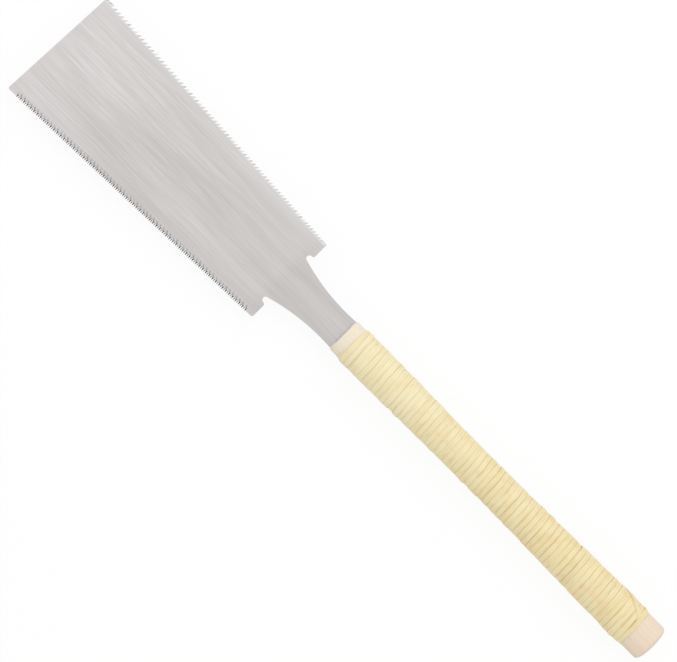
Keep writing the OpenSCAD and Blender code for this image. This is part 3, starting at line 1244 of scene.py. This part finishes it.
@dataclass
class RattanWinding:
    """The rattan strip, made by one Geometry Nodes tree whose inputs are the sizes of a run.

    The first run is the winding itself, which stands for the solid.
    """

    shape: HandleShape
    finish: CaneSkin
    runs: list[StripRun]
    flat_lift: float = 0.73 * MM
    section_points: int = 16
    steps_a_turn: int = 72

    def inputs(self, run: StripRun) -> dict[str, float | int]:
        """Lists the sizes that the tree takes for one run.

        Args:
            run: The run of strip.

        Returns:
            The value of each input, by its name.
        """
        shape = self.shape
        sizes = {item.name: getattr(run, item.name) for item in fields(run) if item.type is float}
        return sizes | {
            "flat_lift": self.flat_lift, "handle_length": shape.length, "front_width": shape.front_width,
            "waist_width": shape.waist_width, "butt_width": shape.butt_width, "waist_x": shape.waist_x,
            "oval": shape.oval, "section_points": self.section_points,
            "steps": round((run.last_turn - run.first_turn) * self.steps_a_turn),
        }

    def tree(self) -> tuple[bpy.types.NodeTree, dict[str, str]]:
        """Builds the tree of a strip that lies in turns on the handle.

        Returns:
            The tree and the identifier of each named input.
        """
        tree = bpy.data.node_groups.new("wound_strip", "GeometryNodeTree")
        tree.interface.new_socket(name="Geometry", in_out="OUTPUT", socket_type="NodeSocketGeometry")
        idents = {}
        for name, value in self.inputs(self.runs[0]).items():
            kind = "NodeSocketInt" if isinstance(value, int) else "NodeSocketFloat"
            label = name.replace("_", " ").title()
            idents[name] = tree.interface.new_socket(name=label, in_out="INPUT", socket_type=kind).identifier
        bench = Bench(tree)
        size = SimpleNamespace(**dict(zip(idents, bench.outs("NodeGroupInput"))))
        form = StripForm(bench, size, self.finish.joints)
        strip = bench.out("GeometryNodeMeshCylinder", fill_type="NGON", output="Mesh", named={
            "Vertices": size.section_points, "Side Segments": size.steps, "Radius": 1.0, "Depth": 1.0,
        })
        for name, value in ((STRIP_RUN, form.turn), (STRIP_ACROSS, form.across)):
            strip = bench.out(
                "GeometryNodeStoreNamedAttribute", data_type="FLOAT", domain="POINT",
                named={"Geometry": strip, "Name": name, "Value": value},
            )
        strip = bench.out("GeometryNodeSetPosition", named={"Geometry": strip, "Position": form.place()})
        strip = bench.out("GeometryNodeRealizeInstances", strip)
        skin = {"Geometry": strip, "Material": self.finish.make()}
        bench.add("NodeGroupOutput", bench.out("GeometryNodeSetMaterial", named=skin))
        return tree, idents

    def build(self) -> None:
        """Makes every run, turns it into a plain mesh and lets the first stand for the solid."""
        tree, idents = self.tree()
        for run in self.runs:
            maker = new_piece(bpy.data.meshes.new(f"{run.name}_maker"))
            winder = maker.modifiers.new("winder", "NODES")
            winder.node_group = tree
            for name, value in self.inputs(run).items():
                winder[idents[name]] = value
            mesh = plain_mesh(maker, run.name)
            mesh.shade_smooth()
            piece = new_piece(mesh)
            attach(piece, Body.HANDLE.value)
            if run is self.runs[0]:
                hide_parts("rattan_wrap")
            log.info("%s: %d faces", piece.name, len(mesh.polygons))


@dataclass
class WindingPlan:
    """Sizes of the winding as it lies on the handle, in metres."""

    butt_bare: float = 19 * MM
    front_bare: float = 8.6 * MM
    strip_width: float = 4.05 * MM
    turns: int = 63
    start_deg: float = 146.25
    lead_in: float = 0.46
    lead_out: float = 0.84
    front_slant: float = 0.9 * MM
    seat: float = 0.04 * MM
    thickness: float = 1.18 * MM
    tail_deg: float = 106.0
    tail_turns: float = 0.21
    tail_hold: float = 0.03
    tail_advance: float = 120 * MM
    tail_width: float = 4.3 * MM
    tail_spread: float = 0.5
    tail_taper: float = 0.03
    tail_seat: float = 0.8 * MM
    tail_thickness: float = 0.75 * MM
    tail_gap: float = 0.3 * MM

    def runs(self, length: float) -> list[StripRun]:
        """Lays out the winding and the tail that is tucked over its first turns, at the butt.

        The winding starts out of sight under the crosscut side, and at the front its strip tapers
        away, so that the front edge is square.

        Args:
            length: Length of the handle.

        Returns:
            The runs of strip, the winding first.
        """
        pitch = (length - self.front_bare - self.butt_bare - self.strip_width) / self.turns
        start_x = self.butt_bare + self.strip_width / 2
        winding = StripRun(
            name="rattan_strip", start_angle=math.radians(self.start_deg), first_turn=-self.lead_in,
            last_turn=self.turns + self.lead_out, start_x=start_x - pitch, advance=pitch, spacing=pitch,
            rear_x=self.butt_bare, front_x=length - self.front_bare, front_slant=self.front_slant,
            seat=self.seat, thickness=self.thickness,
        )
        tail = StripRun(
            name="rattan_tail", start_angle=math.radians(self.tail_deg), first_turn=0.0,
            last_turn=self.tail_turns, start_x=start_x, advance=self.tail_advance, spacing=self.tail_width,
            rear_x=self.butt_bare, front_x=length, front_slant=0.0,
            seat=self.tail_seat, thickness=self.tail_thickness, hold=self.tail_hold,
            spread=self.tail_spread, gap_play=self.tail_gap, taper_turns=self.tail_taper,
        )
        return [winding, tail]


@dataclass
class Studio:
    """Pale floor, soft light and the camera straight above the saw."""

    floor_z: float
    floor_side: float = 12.0
    floor_white: float = 0.97
    floor_bounce: float = 0.74
    floor_glow: float = 0.91
    sky: float = 0.865
    key_power: float = 7.0
    key_side: float = 1.3
    key_place: Triple = (0.38, -1.15, 1.25)
    target: Triple = (0.3208, 0.0004, 0.0)
    view_height: float = 2.5
    view_width: float = 488.8 * MM
    sensor: float = 36.0
    far: float = 100.0
    turn_deg: float = -134.82

    def build(self) -> None:
        """Makes the whole stage."""
        self.floor()
        self.world()
        self.key_lamp()
        self.camera()

    @staticmethod
    def seen_directly(bench: Bench) -> Signal:
        """Tells what the camera sees, straight, in a gloss or through glass.

        Args:
            bench: Bench of the material.

        Returns:
            1 for what is seen and 0 for what only lights the saw.
        """
        path = bench.add("ShaderNodeLightPath").outputs
        rays = ("Is Camera Ray", "Is Glossy Ray", "Is Transmission Ray")
        camera, glossy, glass = (Signal(bench, path[ray]) for ray in rays)
        return camera.at_least(glossy).at_least(glass)

    def floor(self) -> None:
        """Lays a white floor that still shows the saw's shadow."""
        work = bmesh.new()
        middle = Matrix.Translation((self.target[0], self.target[1], self.floor_z))
        bmesh.ops.create_grid(work, x_segments=1, y_segments=1, size=self.floor_side / 2, matrix=middle)
        floor = new_piece(closed_mesh(work, "floor"))
        material = bpy.data.materials.new("white_floor")
        material.use_nodes = True
        material.node_tree.nodes.clear()
        bench = Bench(material.node_tree)
        seen = self.seen_directly(bench)
        colour = seen.blend(grey(self.floor_bounce), grey(self.floor_white))
        paper = bench.out("ShaderNodeBsdfDiffuse", colour)
        glow = bench.out("ShaderNodeEmission")
        mix = bench.out("ShaderNodeMixShader", seen * self.floor_glow, paper, glow)
        bench.add("ShaderNodeOutputMaterial", mix)
        floor.data.materials.append(material)
        floor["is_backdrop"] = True

    def world(self) -> None:
        """Surrounds the saw with an even white sky."""
        world = bpy.data.worlds.new("studio")
        world.use_nodes = True
        world.node_tree.nodes.clear()
        bench = Bench(world.node_tree)
        bench.add("ShaderNodeOutputWorld", bench.out("ShaderNodeBackground", grey(1.0), self.sky))
        bpy.context.scene.world = world

    def key_lamp(self) -> None:
        """Hangs a large soft lamp over the rip side."""
        lamp = bpy.data.lights.new("key", "AREA")
        lamp.energy = self.key_power
        lamp.size = self.key_side
        key = new_piece(lamp)
        key.location = self.key_place
        aim = Vector(self.target) - Vector(self.key_place)
        key.rotation_euler = aim.to_track_quat("-Z", "Y").to_euler()

    def camera(self) -> None:
        """Looks straight down at the saw, turned so that it lies across the picture."""
        lens = bpy.data.cameras.new("camera")
        lens.sensor_width = self.sensor
        lens.lens = self.sensor * self.view_height / self.view_width
        lens.clip_end = self.far
        camera = new_piece(lens)
        camera.location = Vector(self.target) + Vector((0.0, 0.0, self.view_height))
        camera.rotation_euler = (0.0, 0.0, math.radians(self.turn_deg))
        bpy.context.scene.camera = camera
        bpy.context.scene.view_settings.view_transform = "Standard"


def main() -> None:
    """Builds the saw piece by piece and sets the stage."""
    logging.basicConfig(level=logging.INFO, format="%(name)s: %(message)s")
    wood_low, wood_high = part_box(Half.UPPER.node)
    shape = HandleShape(length=wood_high.x - wood_low.x)
    BladePlate(front_x=wood_high.x).build()
    # The sheath and pins also take a painted reflection colour on their tilted faces.
    BladeHolder(
        GroundSteel("sheath_rolled_steel", dark=paint(132, 134, 136), bright=paint(164, 166, 168),
                    filed=paint(120, 122, 124), roughness=0.42),
        GroundSteel("pin_drawn_steel", dark=paint(150, 146, 138), bright=paint(188, 184, 174),
                    filed=paint(160, 156, 148), roughness=0.34),
    ).build()
    wood = {
        "early": paint(240, 230, 209), "late": paint(233, 220, 196),
        "butt_early": paint(238, 218, 196), "butt_late": paint(230, 208, 184),
    }
    WoodenHandle(shape, {
        Half.UPPER: SandedWood("wood_upper", pith=(-31 * MM, -52 * MM), **wood),
        Half.LOWER: SandedWood("wood_lower", pith=(24 * MM, 47 * MM), **wood),
    }).build()
    plan = WindingPlan()
    # The cane's edge colour is the colour of its painted shade.
    cane = CaneSkin(
        "rattan_skin", pale=paint(243, 231, 190), mid=paint(238, 218, 164), brown=paint(234, 205, 152),
        edge=paint(204, 182, 128), pale_span=(0.5 * plan.turns, 0.9 * plan.turns), seed=StripRun.seed,
        joints=JointPlan(),
    )
    RattanWinding(shape, cane, plan.runs(shape.length)).build()
    low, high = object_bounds()
    Studio(floor_z=min(CAD_BOX[0].z, low.z)).build()
    log.info("visual box %s to %s", tuple(low), tuple(high))


if __name__ == "__main__":
    main()
